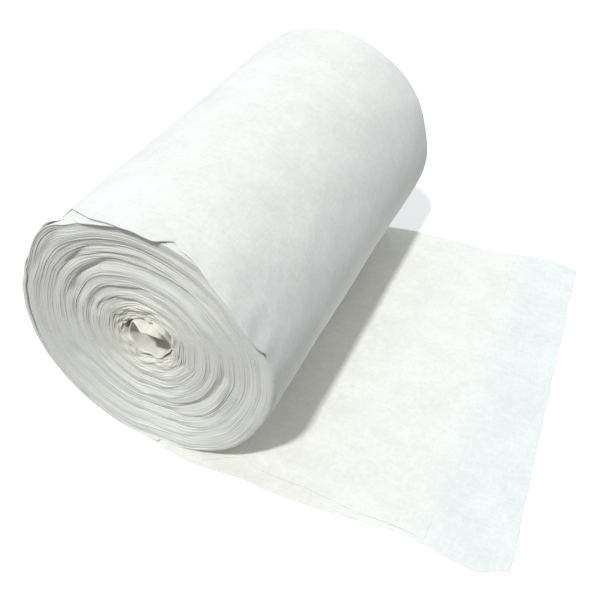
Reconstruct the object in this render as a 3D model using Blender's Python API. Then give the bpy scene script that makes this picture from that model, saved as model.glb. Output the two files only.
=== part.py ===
"""Gauze bandage roll: one length of four-ply gauze, wound on itself, with its loose end laid flat.

Metres, +Z up. The origin is on the table under the middle of the roll's axis. +Y runs along that axis,
away from the near end, and +X runs along the loose end.
"""
from collections import namedtuple
from math import pi, tau

import bmesh
import bpy
import numpy as np

# Sizes of the roll
ROLL_WIDTH = 0.2246
ROLL_RADIUS = 0.0675
HOLLOW_RADIUS = 0.0120
HALF_WIDTH = ROLL_WIDTH / 2

# The cloth, and the gap that parts the roll from the loose end
CLOTH_THICKNESS = 0.0015
TAPERED_THICKNESS = 0.0006
LOWER_PLY_THICKNESS = 0.0009
GAP = 0.0003
FLAT_LEVEL = CLOTH_THICKNESS + GAP

# The wound turns: each one that shows stands for several turns of the thin cloth
TURNS = 8
STEPS_A_TURN = 64
TURN_PITCH = (ROLL_RADIUS - HOLLOW_RADIUS) / TURNS
CREST = 0.62
GROOVE_DEPTH = 0.0026
GROOVE_SWING = 0.0008
SWINGS_A_TURN = 2
SWING_DRIFT = 210
NEAR_PHASE = 0.4
FAR_PHASE = 2.3
START_ANGLE = -pi / 2
LIP_THICKNESS = 0.0028
HELIX_WELD = 0.00002
FLAT_WELD = 0.00008
END_SHARE = 1e-4
LEAST_SLOPE = 1e-6

# Where the sides of the roll and of its hollow are cut into bands, from the near end
BANDS = (0.006, 0.022, 0.060, 0.112, 0.164, 0.203, 0.219)

# The roll's radius round its axis, in degrees from +X, at its near and far ends
Girth = namedtuple("Girth", "angle near far")
GIRTHS = (
    Girth(-90, 0.0676, 0.0676),
    Girth(-63, 0.0684, 0.0680),
    Girth(-28, 0.0662, 0.0679),
    Girth(-5, 0.0668, 0.0674),
    Girth(20, 0.0678, 0.0665),
    Girth(50, 0.0672, 0.0669),
    Girth(90, 0.0673, 0.0677),
    Girth(120, 0.0672, 0.0681),
    Girth(155, 0.0661, 0.0676),
    Girth(183, 0.0671, 0.0670),
    Girth(225, 0.0686, 0.0676),
    Girth(270, 0.0676, 0.0676),
)

# The hollow's radius round its own centre, at its near and far ends
HOLLOW_GIRTHS = (
    Girth(-90, 0.0112, 0.0104),
    Girth(-40, 0.0118, 0.0110),
    Girth(0, 0.0132, 0.0124),
    Girth(45, 0.0134, 0.0116),
    Girth(90, 0.0122, 0.0104),
    Girth(135, 0.0128, 0.0114),
    Girth(180, 0.0118, 0.0126),
    Girth(225, 0.0108, 0.0112),
    Girth(270, 0.0112, 0.0104),
)
HOLLOW_SHIFT = (-0.0010, -0.0002)

# The hollow's slow twist: how deep it is, how many lobes it has and how far it turns along the roll
TWIST_DEPTH = 0.0004
TWIST_LOBES = 3
TWIST_TURN = 9

# How far the outermost turn's edge stands back from each end of the roll: below nothing, it stands proud
Rim = namedtuple("Rim", "angle near far")
RIMS = (
    Rim(-90, 0.0004, 0.0012),
    Rim(-40, 0.0010, 0.0002),
    Rim(0, 0.0022, 0.0010),
    Rim(16, 0.0020, 0.0016),
    Rim(29, -0.0050, 0.0006),
    Rim(41, -0.0043, 0.0000),
    Rim(52, -0.0020, 0.0010),
    Rim(62, 0.0012, 0.0020),
    Rim(69, 0.0046, 0.0012),
    Rim(75, -0.0010, 0.0004),
    Rim(88, -0.0010, 0.0008),
    Rim(98, 0.0008, 0.0016),
    Rim(110, 0.0042, 0.0010),
    Rim(128, 0.0050, 0.0000),
    Rim(160, 0.0026, 0.0008),
    Rim(215, 0.0004, 0.0018),
    Rim(270, 0.0004, 0.0012),
)

# How far the crests of the turns stand back from each end, out from the hollow
Crest = namedtuple("Crest", "radius near far")
CRESTS = (
    Crest(0.012, 0.0024, 0.0040),
    Crest(0.018, 0.0027, 0.0024),
    Crest(0.026, 0.0030, 0.0018),
    Crest(0.036, 0.0031, 0.0014),
    Crest(0.042, 0.0060, 0.0026),
    Crest(0.049, 0.0033, 0.0012),
    Crest(0.058, 0.0046, 0.0010),
    Crest(0.065, 0.0076, 0.0018),
)

# Soft dents along the barrel: where each one lies, how wide it is and how deep
Dent = namedtuple("Dent", "angle along half_angle half_length depth")
DENTS = (
    Dent(24, 0.020, 16, 0.030, 0.0012),
    Dent(75, 0.095, 22, 0.060, 0.0007),
    Dent(140, 0.150, 20, 0.070, 0.0010),
    Dent(-30, 0.120, 18, 0.080, 0.0008),
)

# The loose end, section by section from under the roll to its cut end: how far its edges lie past the
# ends of the roll, and how far back the upper plies' edge lies
Section = namedtuple("Section", "near_x past_near ply_past_near far_x past_far")
SECTIONS = (
    Section(-0.0150, -0.0010, -0.0016, -0.0150, -0.0014),
    Section(0.0040, 0.0030, 0.0020, 0.0040, -0.0004),
    Section(0.0240, 0.0056, 0.0022, 0.0240, 0.0006),
    Section(0.0470, 0.0042, -0.0014, 0.0500, 0.0018),
    Section(0.0620, 0.0056, -0.0036, 0.0660, 0.0043),
    Section(0.0780, 0.0053, -0.0029, 0.0830, 0.0046),
    Section(0.0950, 0.0043, -0.0018, 0.0990, 0.0044),
    Section(0.1130, 0.0030, -0.0006, 0.1190, 0.0031),
    Section(0.1300, 0.0015, 0.0008, 0.1300, 0.0052),
    Section(0.1460, 0.0038, 0.0030, 0.1430, 0.0075),
    Section(0.1560, 0.0055, 0.0046, 0.1550, 0.0066),
    Section(0.1646, 0.0066, 0.0056, 0.1640, 0.0040),
    Section(0.1796, 0.0008, 0.0000, 0.1726, 0.0022),
)
SHEET_COLUMNS = 36
SHEET_ROWS = 16
PLY_STEP = 0.0012
CLEAR_OF_ROLL = 0.034
CLEARING = 0.012
TAPER_START = SECTIONS[0].near_x - 0.001
TAPER_END = SECTIONS[0].near_x + 0.010

# Creases and swells of the loose end, as soft ridges between two points
Crease = namedtuple("Crease", "x0 y0 x1 y1 half_width height")
CREASES = (
    Crease(0.136, 0.012, 0.142, -0.080, 0.0060, 0.0012),
    Crease(0.162, -0.060, 0.176, -0.096, 0.0045, 0.0010),
    Crease(0.172, 0.104, 0.177, -0.060, 0.0050, 0.0006),
    Crease(0.157, 0.119, 0.170, 0.110, 0.0050, 0.0022),
    Crease(0.090, 0.108, 0.096, 0.020, 0.0120, 0.0007),
    Crease(0.066, -0.060, 0.112, -0.074, 0.0090, 0.0006),
    Crease(0.118, -0.112, 0.160, -0.104, 0.0060, 0.0008),
)

# The slow swells between the creases: two crossed waves, in radians a metre, and their height
Swell = namedtuple("Swell", "per_x per_y phase")
SWELLS = (Swell(52, 17, 0.0), Swell(-21, 38, 1.1))
SWELL_HEIGHT = 0.00035

SMOOTH_ANGLE = pi / 5


def clear_scene():
    """Remove every object and every empty collection."""
    for thing in list(bpy.data.objects):
        bpy.data.objects.remove(thing, do_unlink=True)
    for group in list(bpy.data.collections):
        bpy.data.collections.remove(group)


def new_collection(name):
    """A collection linked to the scene."""
    group = bpy.data.collections.new(name)
    bpy.context.scene.collection.children.link(group)
    return group


def cloth_material(name, colour, roughness):
    """A matt cloth of one colour."""
    material = bpy.data.materials.new(name)
    material.use_nodes = True
    shader = material.node_tree.nodes["Principled BSDF"]
    shader.inputs["Base Color"].default_value = (*colour, 1.0)
    shader.inputs["Roughness"].default_value = roughness
    shader.inputs["Metallic"].default_value = 0.0
    return material


def eased(values, places, heights):
    """Read a table at the values, with a level tangent at each of its rows."""
    places = np.asarray(places, float)
    heights = np.asarray(heights, float)
    values = np.clip(values, places[0], places[-1])
    index = np.clip(np.searchsorted(places, values, side="right") - 1, 0, len(places) - 2)
    share = (values - places[index]) / (places[index + 1] - places[index])
    share = share * share * (3 - 2 * share)
    return heights[index] + share * (heights[index + 1] - heights[index])


def step_up(values, low, high):
    """0 below low, 1 above high and a soft rise between them."""
    share = np.clip((values - low) / (high - low), 0, 1)
    return share * share * (3 - 2 * share)


def columns(table):
    """A table's columns as lists, in the order of their names."""
    return [list(column) for column in zip(*table)]


def read_points(mesh):
    """The mesh's points as an array of rows x, y, z."""
    points = np.empty(len(mesh.vertices) * 3)
    mesh.vertices.foreach_get("co", points)
    return points.reshape(-1, 3)


def write_points(mesh, points):
    """Put the array of points back into the mesh."""
    mesh.vertices.foreach_set("co", points.ravel())
    mesh.update()


def finished_object(name, mesh, material, group):
    """An object for the mesh, with its material, smooth but for its sharp edges."""
    mesh.materials.append(material)
    mesh.shade_smooth()
    mesh.set_sharp_from_angle(angle=SMOOTH_ANGLE)
    thing = bpy.data.objects.new(name, mesh)
    group.objects.link(thing)
    return thing


def everything(bm):
    """All of a mesh's points, edges and faces in one list."""
    return bm.verts[:] + bm.edges[:] + bm.faces[:]


def spiral_ring(bm):
    """A flat ring at the near end whose edges follow the wound turns.

    A short upright line, the section of one turn, is spun up a helix whose height stands for the radius.
    The helix is trimmed level with the hollow and with the roll's outside, and then laid flat.
    """
    heights = (-TURN_PITCH, (CREST - 1) * TURN_PITCH, 0.0)
    section = [bm.verts.new((0.0, -1.0, height)) for height in heights]
    lines = [bm.edges.new(pair) for pair in zip(section, section[1:])]
    bmesh.ops.spin(
        bm,
        geom=section + lines,
        axis=(0, 0, 1),
        cent=(0, 0, 0),
        dvec=(0, 0, TURN_PITCH / STEPS_A_TURN),
        angle=tau * (TURNS + 1),
        steps=STEPS_A_TURN * (TURNS + 1),
    )
    bmesh.ops.remove_doubles(bm, verts=bm.verts, dist=HELIX_WELD)
    depth = ROLL_RADIUS - HOLLOW_RADIUS
    bmesh.ops.bisect_plane(bm, geom=everything(bm), plane_co=(0, 0, 0), plane_no=(0, 0, 1), clear_inner=True)
    bmesh.ops.bisect_plane(bm, geom=everything(bm), plane_co=(0, 0, depth), plane_no=(0, 0, 1), clear_outer=True)
    bmesh.ops.bisect_plane(bm, geom=everything(bm), plane_co=(0, 0, depth - LIP_THICKNESS), plane_no=(0, 0, 1))
    for vert in bm.verts:
        radius = HOLLOW_RADIUS + vert.co.z
        vert.co = (vert.co.x * radius, -HALF_WIDTH, vert.co.y * radius)
    bmesh.ops.remove_doubles(bm, verts=bm.verts, dist=FLAT_WELD)


def true_roll():
    """A perfectly round roll with a round hollow, its sides cut into bands."""
    bm = bmesh.new()
    spiral_ring(bm)
    extruded = bmesh.ops.extrude_face_region(bm, geom=bm.faces[:])
    moved = [item for item in extruded["geom"] if isinstance(item, bmesh.types.BMVert)]
    bmesh.ops.translate(bm, verts=moved, vec=(0, ROLL_WIDTH, 0))
    for band in BANDS:
        bmesh.ops.bisect_plane(bm, geom=everything(bm), plane_co=(0, band - HALF_WIDTH, 0), plane_no=(0, 1, 0))
    bmesh.ops.recalc_face_normals(bm, faces=bm.faces)
    mesh = bpy.data.meshes.new("wound_roll")
    bm.to_mesh(mesh)
    bm.free()
    return mesh


def roll_radius(angle, share):
    """The roll's radius at an angle and at a share of its width: lumpy, dented and flat underneath."""
    degrees = np.degrees(angle)
    angles, near, far = columns(GIRTHS)
    radius = (1 - share) * eased(degrees, angles, near) + share * eased(degrees, angles, far)
    for dent in DENTS:
        turn = (degrees - dent.angle + 180) % 360 - 180
        across = turn / dent.half_angle
        along = (share * ROLL_WIDTH - dent.along) / dent.half_length
        radius = radius - dent.depth * np.exp(-across * across - along * along)
    down = np.maximum(-np.sin(angle), LEAST_SLOPE)
    return np.minimum(radius, (ROLL_RADIUS - FLAT_LEVEL) / down)


def hollow_radius(angle, share):
    """The hollow's radius at an angle and at a share of the roll's width."""
    degrees = np.degrees(angle)
    angles, near, far = columns(HOLLOW_GIRTHS)
    radius = (1 - share) * eased(degrees, angles, near) + share * eased(degrees, angles, far)
    return radius + TWIST_DEPTH * np.sin(TWIST_LOBES * angle + TWIST_TURN * share) * np.sin(pi * share)


def end_relief(radius, angle, crest_heights, phase):
    """How far an end face stands back at a radius: the crests' depth, plus the grooves between the turns."""
    radii = [crest.radius for crest in CRESTS]
    turn = (angle - START_ANGLE) / tau % 1.0
    across = ((radius - HOLLOW_RADIUS) / TURN_PITCH - turn) % 1.0
    groove = 1 - np.sin(pi * across)
    swing = np.sin(SWINGS_A_TURN * angle + phase + SWING_DRIFT * radius)
    return eased(radius, radii, crest_heights) + groove * (GROOVE_DEPTH + GROOVE_SWING * swing)


def wound_roll(group):
    """The roll: its wound turns at both ends, the lifted outer edge, the hollow and the flat spot."""
    mesh = true_roll()
    points = read_points(mesh)
    angle = np.arctan2(points[:, 2], points[:, 0])
    angle = np.where(angle < START_ANGLE, angle + tau, angle)
    radius = np.hypot(points[:, 0], points[:, 2])
    share = (points[:, 1] + HALF_WIDTH) / ROLL_WIDTH
    outward = (radius - HOLLOW_RADIUS) / (ROLL_RADIUS - HOLLOW_RADIUS)

    degrees = np.degrees(angle)
    _, crest_near, crest_far = columns(CRESTS)
    angles, rim_near, rim_far = columns(RIMS)
    to_rim = step_up(radius, ROLL_RADIUS - LIP_THICKNESS, ROLL_RADIUS)
    near_crests = end_relief(radius, angle, crest_near, NEAR_PHASE)
    far_crests = end_relief(radius, angle, crest_far, FAR_PHASE)
    near = (1 - to_rim) * near_crests + to_rim * eased(degrees, angles, rim_near)
    far = (1 - to_rim) * far_crests + to_rim * eased(degrees, angles, rim_far)
    along = points[:, 1] + np.where(share < END_SHARE, near, 0) - np.where(share > 1 - END_SHARE, far, 0)

    inner = hollow_radius(angle, share)
    reach = inner + outward * (roll_radius(angle, share) - inner)
    shaped = np.column_stack((
        reach * np.cos(angle) + (1 - outward) * HOLLOW_SHIFT[0],
        along,
        reach * np.sin(angle) + (1 - outward) * HOLLOW_SHIFT[1] + ROLL_RADIUS,
    ))
    write_points(mesh, shaped)
    return finished_object("wound_roll", mesh, cloth_material("roll_gauze", (0.86, 0.87, 0.85), 0.9), group)


def sheet_height(x, y):
    """The height of the loose end's upper face: the cloth's thickness with its creases and swells."""
    free = step_up(x, CLEAR_OF_ROLL - CLEARING, CLEAR_OF_ROLL + CLEARING)
    taper = step_up(x, TAPER_START, TAPER_END)
    height = TAPERED_THICKNESS + taper * (CLOTH_THICKNESS - TAPERED_THICKNESS)
    for crease in CREASES:
        run = np.array((crease.x1 - crease.x0, crease.y1 - crease.y0))
        length = np.hypot(*run)
        run = run / length
        along = (x - crease.x0) * run[0] + (y - crease.y0) * run[1]
        across = (x - crease.x0) * run[1] - (y - crease.y0) * run[0]
        past = np.maximum(np.maximum(-along, along - length), 0)
        distance = np.hypot(across, past) / crease.half_width
        height = height + free * crease.height * np.exp(-distance * distance)
    first, second = (np.sin(swell.per_x * x + swell.per_y * y + swell.phase) for swell in SWELLS)
    return height + free * SWELL_HEIGHT * first * second


def sheet_grid(points):
    """Spread a unit grid's points over the loose end's outline, two rows of them along the lower ply."""
    along = (points[:, 0] + 0.5) * (len(SECTIONS) - 1)
    row = np.rint((points[:, 1] + 0.5) * SHEET_ROWS)
    stations = np.arange(len(SECTIONS))
    near_x, past_near, ply_past, far_x, past_far = (np.interp(along, stations, c) for c in columns(SECTIONS))
    near_y = -HALF_WIDTH - past_near
    ply_y = -HALF_WIDTH - ply_past
    far_y = HALF_WIDTH + past_far
    share = (row - 2) / (SHEET_ROWS - 2)
    upper_y = ply_y + PLY_STEP + share * (far_y - ply_y - PLY_STEP)
    y = np.select((row == 0, row == 1), (near_y, ply_y), upper_y)
    x = near_x + (y - near_y) / (far_y - near_y) * (far_x - near_x)
    z = sheet_height(x, y) * np.where(row < 2, LOWER_PLY_THICKNESS / CLOTH_THICKNESS, 1.0)
    return np.column_stack((x, y, z))


def loose_end(group):
    """The loose end: a flat-lying sheet whose lower ply shows along the near edge."""
    bm = bmesh.new()
    bmesh.ops.create_grid(bm, x_segments=SHEET_COLUMNS, y_segments=SHEET_ROWS, size=0.5)
    places = sheet_grid(np.array([vert.co[:] for vert in bm.verts]))
    for vert, place in zip(bm.verts, places):
        vert.co = place
    extruded = bmesh.ops.extrude_face_region(bm, geom=bm.faces[:])
    underside = [item for item in extruded["geom"] if isinstance(item, bmesh.types.BMFace)]
    for item in extruded["geom"]:
        if isinstance(item, bmesh.types.BMVert):
            item.co.z = 0.0
    bmesh.ops.dissolve_faces(bm, faces=underside, use_verts=False)
    bmesh.ops.recalc_face_normals(bm, faces=bm.faces)
    mesh = bpy.data.meshes.new("loose_end")
    bm.to_mesh(mesh)
    bm.free()
    return finished_object("loose_end", mesh, cloth_material("flat_gauze", (0.87, 0.88, 0.86), 0.9), group)


def main():
    """Build the roll and its loose end."""
    clear_scene()
    group = new_collection("gauze_bandage_roll")
    wound_roll(group)
    loose_end(group)


main()
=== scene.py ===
"""Gauze bandage roll: one long strip of folded cotton gauze wound on itself, with its loose end laid flat.

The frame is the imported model's, in metres: +Y runs along the roll from its near end, +X along the loose
end, and +Z up from the table. Directions round the roll are in degrees from +X, towards +Z.
"""

import logging
from dataclasses import dataclass
from enum import Enum

import bpy
import numpy as np
from mathutils import Matrix

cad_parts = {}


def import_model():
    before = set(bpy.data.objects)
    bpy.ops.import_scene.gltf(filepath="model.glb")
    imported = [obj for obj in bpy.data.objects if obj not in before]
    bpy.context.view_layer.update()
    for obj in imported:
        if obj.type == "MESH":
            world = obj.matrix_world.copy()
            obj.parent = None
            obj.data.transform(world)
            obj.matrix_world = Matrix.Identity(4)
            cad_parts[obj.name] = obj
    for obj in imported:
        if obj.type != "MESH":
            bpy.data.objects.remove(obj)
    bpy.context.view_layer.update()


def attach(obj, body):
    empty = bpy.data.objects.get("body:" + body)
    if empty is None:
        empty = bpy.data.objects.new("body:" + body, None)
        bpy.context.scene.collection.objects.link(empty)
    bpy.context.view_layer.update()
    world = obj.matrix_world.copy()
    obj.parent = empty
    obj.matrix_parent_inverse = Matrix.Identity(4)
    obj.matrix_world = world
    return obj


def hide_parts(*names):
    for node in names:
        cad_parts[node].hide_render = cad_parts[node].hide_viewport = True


log = logging.getLogger("gauze_roll")
CLOTH_MAP = "cloth"
# Painted light: this point attribute sets a painted tone, a cooler and darker shade painted where thin cloth
# lets light through, and a cream glow painted for warm, scattered light.
PAINTED_TONE = "painted_tone"
COARSE = "coarse"
UNDERNEATH = -90.0
ROUND = 360.0


@dataclass(frozen=True)
class Table:
    """Measured rows under named columns, read at places of the first column."""

    columns: tuple[str, ...]
    rows: tuple[tuple[float, ...], ...]

    def column(self, name: str) -> np.ndarray:
        """The numbers of one column, row by row."""
        return np.array([row[self.columns.index(name)] for row in self.rows])

    def read(self, name: str, at: np.ndarray) -> np.ndarray:
        """Reads a column between its rows.

        Each stretch between two rows is a cubic whose slope at a row is the harmonic mean of the slopes
        on its two sides, or level where they differ in sign, so it never passes beyond its rows.

        Args:
            name: The column.
            at: Places of the first column. Past the table's ends they read the end rows.

        Returns:
            One value for each place.
        """
        places, values = self.column(self.columns[0]), self.column(name)
        at = np.clip(at, places[0], places[-1])
        rise = np.diff(values) / np.diff(places)
        before, after = rise[:-1], rise[1:]
        agree = before * after > 0
        mean = 2 * before * after / np.where(agree, before + after, 1.0)
        slopes = np.concatenate(([0.0], np.where(agree, mean, 0.0), [0.0]))
        row = np.clip(np.searchsorted(places, at, side="right") - 1, 0, len(places) - 2)
        step = places[row + 1] - places[row]
        t = (at - places[row]) / step
        return (
            values[row] * (1 + 2 * t) * (1 - t) ** 2
            + values[row + 1] * t * t * (3 - 2 * t)
            + step * (slopes[row] * t * (1 - t) ** 2 + slopes[row + 1] * t * t * (t - 1))
        )


@dataclass(frozen=True)
class Unevenness:
    """Smooth unevenness: a sum of sine waves whose directions and phases come from one seed."""

    seed: int
    lengths: tuple[float, ...]
    waves: int = 9

    def at(self, *places: np.ndarray) -> np.ndarray:
        """The unevenness at places, mostly between -1 and 1.

        Each wave is the sine of the places' sum, each divided by its wave length and multiplied by one
        part of a random unit direction, plus a random phase.

        Args:
            places: One array for each of the lengths, in the same unit.

        Returns:
            One value for each place.
        """
        random = np.random.default_rng(self.seed)
        total = np.zeros(np.broadcast_shapes(*(np.shape(place) for place in places)))
        for _ in range(self.waves):
            direction = random.normal(size=len(places))
            direction /= np.linalg.norm(direction)
            phase = random.uniform(0, 2 * np.pi)
            turns = sum(part * place / length for part, place, length in zip(direction, places, self.lengths))
            total = total + np.sin(2 * np.pi * turns + phase)
        return total / np.sqrt(self.waves)


def wrapped(degrees: np.ndarray) -> np.ndarray:
    """The same directions from -90 up to 270 degrees, where the tables' rows run."""
    return (degrees - UNDERNEATH) % ROUND + UNDERNEATH


def risen(at: np.ndarray, low: float, high: float) -> np.ndarray:
    """0 below low, 1 above high, and between them 3t squared less 2t cubed of the share t."""
    t = np.clip((at - low) / (high - low), 0, 1)
    return t * t * (3 - 2 * t)


def between(near: np.ndarray, far: np.ndarray, share: np.ndarray) -> np.ndarray:
    """The value at a share of the way from the near one to the far one."""
    return near + (far - near) * share


def cloth_object(
    name: str,
    middle: np.ndarray,
    half: np.ndarray,
    cloth: np.ndarray,
    painted_tone: np.ndarray,
    coarse: np.ndarray = np.float64(1.0),
    slant: np.ndarray = np.float64(0.0),
) -> bpy.types.Object:
    """A closed sheet of cloth round a grid of points.

    Each side is the grid moved along its normal, the cross product of the grid's two directions, by half
    of the thickness. The thickness ends in nothing at the rim, whose points both sides share.

    Args:
        name: The piece's name.
        middle: The grid's points, rows by columns by 3.
        half: Half of the thickness at each point.
        cloth: Each point's place on the flat cloth, rows by columns by 2, in metres.
        painted_tone: Each point's painted light, from 0, a cooler and darker shade painted where thin cloth lets
            light through, through 0.5, the plain cloth, to 1, a painted cream glow of warm, scattered light.
        coarse: How much of the weave shows at each point, from 0 to 1.
        slant: How far each side's points shift along Y, forward on the front and back on the other side.

    Returns:
        The piece, linked to the scene.
    """
    normal = np.cross(np.gradient(middle, axis=0), np.gradient(middle, axis=1))
    normal /= np.linalg.norm(normal, axis=2, keepdims=True)
    offset = normal * half[..., None]
    offset[..., 1] += slant
    front = middle.copy()
    front[1:-1, 1:-1] += offset[1:-1, 1:-1]
    back = (middle - offset)[1:-1, 1:-1]
    rows, columns = half.shape
    upper = np.arange(rows * columns).reshape(rows, columns)
    lower = upper.copy()
    lower[1:-1, 1:-1] = upper.size + np.arange((rows - 2) * (columns - 2)).reshape(rows - 2, columns - 2)

    def quads(order: np.ndarray) -> np.ndarray:
        """The four corners of each cell, turned from the rows to the columns."""
        return np.stack((order[:-1, :-1], order[1:, :-1], order[1:, 1:], order[:-1, 1:]), -1).reshape(-1, 4)

    faces = np.concatenate((quads(upper), quads(lower)[:, ::-1]))
    points = np.concatenate((front.reshape(-1, 3), back.reshape(-1, 3)))
    places = np.concatenate((cloth.reshape(-1, 2), cloth[1:-1, 1:-1].reshape(-1, 2)))
    mesh = bpy.data.meshes.new(name)
    mesh.from_pydata(points, [], faces)
    layer = mesh.uv_layers.new(name=CLOTH_MAP)
    layer.uv.foreach_set("vector", places[faces.ravel()].astype(np.float32).ravel())
    for key, grid in ((PAINTED_TONE, painted_tone), (COARSE, coarse)):
        grid = np.broadcast_to(grid, half.shape)
        values = np.concatenate((grid.ravel(), grid[1:-1, 1:-1].ravel())).astype(np.float32)
        mesh.attributes.new(name=key, type="FLOAT", domain="POINT").data.foreach_set("value", values)
    mesh.shade_smooth()
    piece = bpy.data.objects.new(name, mesh)
    bpy.context.scene.collection.objects.link(piece)
    return piece


@dataclass
class Nodes:
    """A node tree, and the ways in which its nodes are added and joined."""

    tree: bpy.types.NodeTree

    def add(self, kind: str, inputs: dict | None = None, **settings: object) -> bpy.types.Node:
        """Adds a node.

        Args:
            kind: The node's type.
            inputs: By name or number, each input's value or the socket that feeds it.
            settings: The node's other settings.

        Returns:
            The node.
        """
        node = self.tree.nodes.new(kind)
        for key, value in settings.items():
            setattr(node, key, value)
        for key, value in (inputs or {}).items():
            if isinstance(value, bpy.types.NodeSocket):
                self.tree.links.new(value, node.inputs[key])
            else:
                node.inputs[key].default_value = value
        return node

    def maths(self, operation: str, *values: float | bpy.types.NodeSocket) -> bpy.types.NodeSocket:
        """The result of one operation."""
        return self.add("ShaderNodeMath", dict(enumerate(values)), operation=operation).outputs[0]

    def vector(self, operation: str, *values: tuple | bpy.types.NodeSocket) -> bpy.types.NodeSocket:
        """The result of one operation on vectors."""
        node = self.add("ShaderNodeVectorMath", dict(enumerate(values)), operation=operation)
        return node.outputs["Value" if operation == "DOT_PRODUCT" else "Vector"]


def rounded(distance: np.ndarray, radius: float) -> np.ndarray:
    """The share of full thickness at a distance in from a folded edge: a quarter of an ellipse, then 1."""
    short = 1 - np.clip(distance / radius, 0, 1)
    return np.sqrt(1 - short * short)


def lengths(gaps: np.ndarray) -> np.ndarray:
    """The length so far at each row of a grid, from the gaps between its rows."""
    return np.concatenate(([0.0], np.cumsum(gaps)))[:, None]


@dataclass(frozen=True)
class RollShape:
    """The roll's body: its sizes, and the lumpy outline of its outside and its hollow."""

    width: float = 0.2246
    radius: float = 0.0675
    flat_level: float = 0.0018
    hollow_shift: tuple[float, float] = (-0.0010, -0.0002)
    girths: Table = Table(
        ("angle", "near", "far"),
        (
            (-90, 0.0676, 0.0676),
            (-63, 0.0684, 0.0680),
            (-28, 0.0662, 0.0679),
            (-5, 0.0668, 0.0674),
            (20, 0.0678, 0.0665),
            (50, 0.0672, 0.0669),
            (90, 0.0673, 0.0677),
            (120, 0.0672, 0.0681),
            (155, 0.0661, 0.0676),
            (183, 0.0671, 0.0670),
            (225, 0.0686, 0.0676),
            (270, 0.0676, 0.0676),
        ),
    )
    hollow_girths: Table = Table(
        ("angle", "near", "far"),
        (
            (-90, 0.0112, 0.0104),
            (-40, 0.0118, 0.0110),
            (0, 0.0132, 0.0124),
            (45, 0.0134, 0.0116),
            (90, 0.0122, 0.0104),
            (135, 0.0128, 0.0114),
            (180, 0.0118, 0.0126),
            (225, 0.0108, 0.0112),
            (270, 0.0112, 0.0104),
        ),
    )
    dents: Table = Table(
        ("angle", "along", "half_angle", "half_length", "depth"),
        (
            (-30, 0.120, 18, 0.080, 0.0008),
            (24, 0.020, 16, 0.030, 0.0012),
            (75, 0.095, 22, 0.060, 0.0007),
            (140, 0.150, 20, 0.070, 0.0010),
        ),
    )
    raised: Table = Table(
        ("angle", "near"),
        ((112, 0.0), (117, 0.0004), (121, 0.0020), (126, 0.0028), (132, 0.0026), (140, 0.0014), (150, 0.0)),
    )
    raised_reach: float = 0.0055
    least_down: float = 0.001

    def outside(self, degrees: np.ndarray, share: np.ndarray) -> np.ndarray:
        """The radius of the outside.

        It is read between the near and far girths, less each dent's depth times the bell curve of the
        distance from its middle in half angles and half lengths.

        Args:
            degrees: Directions round the axis.
            share: Shares of the width, from the near end.

        Returns:
            The radius at each place.
        """
        angle = wrapped(degrees)
        radius = between(self.girths.read("near", angle), self.girths.read("far", angle), share)
        for dent_angle, along, half_angle, half_length, depth in self.dents.rows:
            turned = ((angle - dent_angle + ROUND / 2) % ROUND - ROUND / 2) / half_angle
            off = (share * self.width - along) / half_length
            radius = radius - depth * np.exp(-turned * turned - off * off)
        return radius

    def lip(self, degrees: np.ndarray, distance: np.ndarray) -> np.ndarray:
        """How far the roll's edge is raised outwards, at distances in from its near end."""
        return self.raised.read("near", wrapped(degrees)) * np.exp(-((distance / self.raised_reach) ** 2))

    def above(self, degrees: np.ndarray, radius: np.ndarray, level: float | np.ndarray) -> np.ndarray:
        """The radius, cut short where it would reach below a level over the table."""
        down = np.maximum(-np.sin(np.radians(degrees)), self.least_down)
        return np.minimum(radius, (self.radius - level) / down)

    def hollow(self, degrees: np.ndarray, share: np.ndarray) -> np.ndarray:
        """The radius of the hollow, read between its near and far girths."""
        angle = wrapped(degrees)
        return between(self.hollow_girths.read("near", angle), self.hollow_girths.read("far", angle), share)


@dataclass(frozen=True)
class EdgeLine:
    """A fold line on an end of the roll: where the turns' edges stand back, or forward if depth is below 0."""

    depth: float
    inner_width: float
    outer_width: float
    path: tuple[tuple[float, float], ...]
    fade: float = 12.0

    def stand_back(self, degrees: np.ndarray, radius: np.ndarray, spread: float) -> np.ndarray:
        """The line's share in how far the edges stand back.

        It is the depth times a bell curve of the distance from the line, in the inner or the outer
        width, and it fades over some degrees past both ends of the path.

        Args:
            degrees: Directions round the axis.
            radius: Distances from the axis.
            spread: How much wider than its widths the line is.

        Returns:
            How far back, in metres.
        """
        first, last = self.path[0][0], self.path[-1][0]
        angle = (degrees - first + self.fade) % ROUND + first - self.fade
        off = radius - Table(("angle", "radius"), self.path).read("radius", angle)
        across = off / (spread * np.where(off < 0, self.inner_width, self.outer_width))
        lasts = risen(angle, first - self.fade, first) * (1 - risen(angle, last, last + self.fade))
        return self.depth * lasts * np.exp(-across * across)


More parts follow.
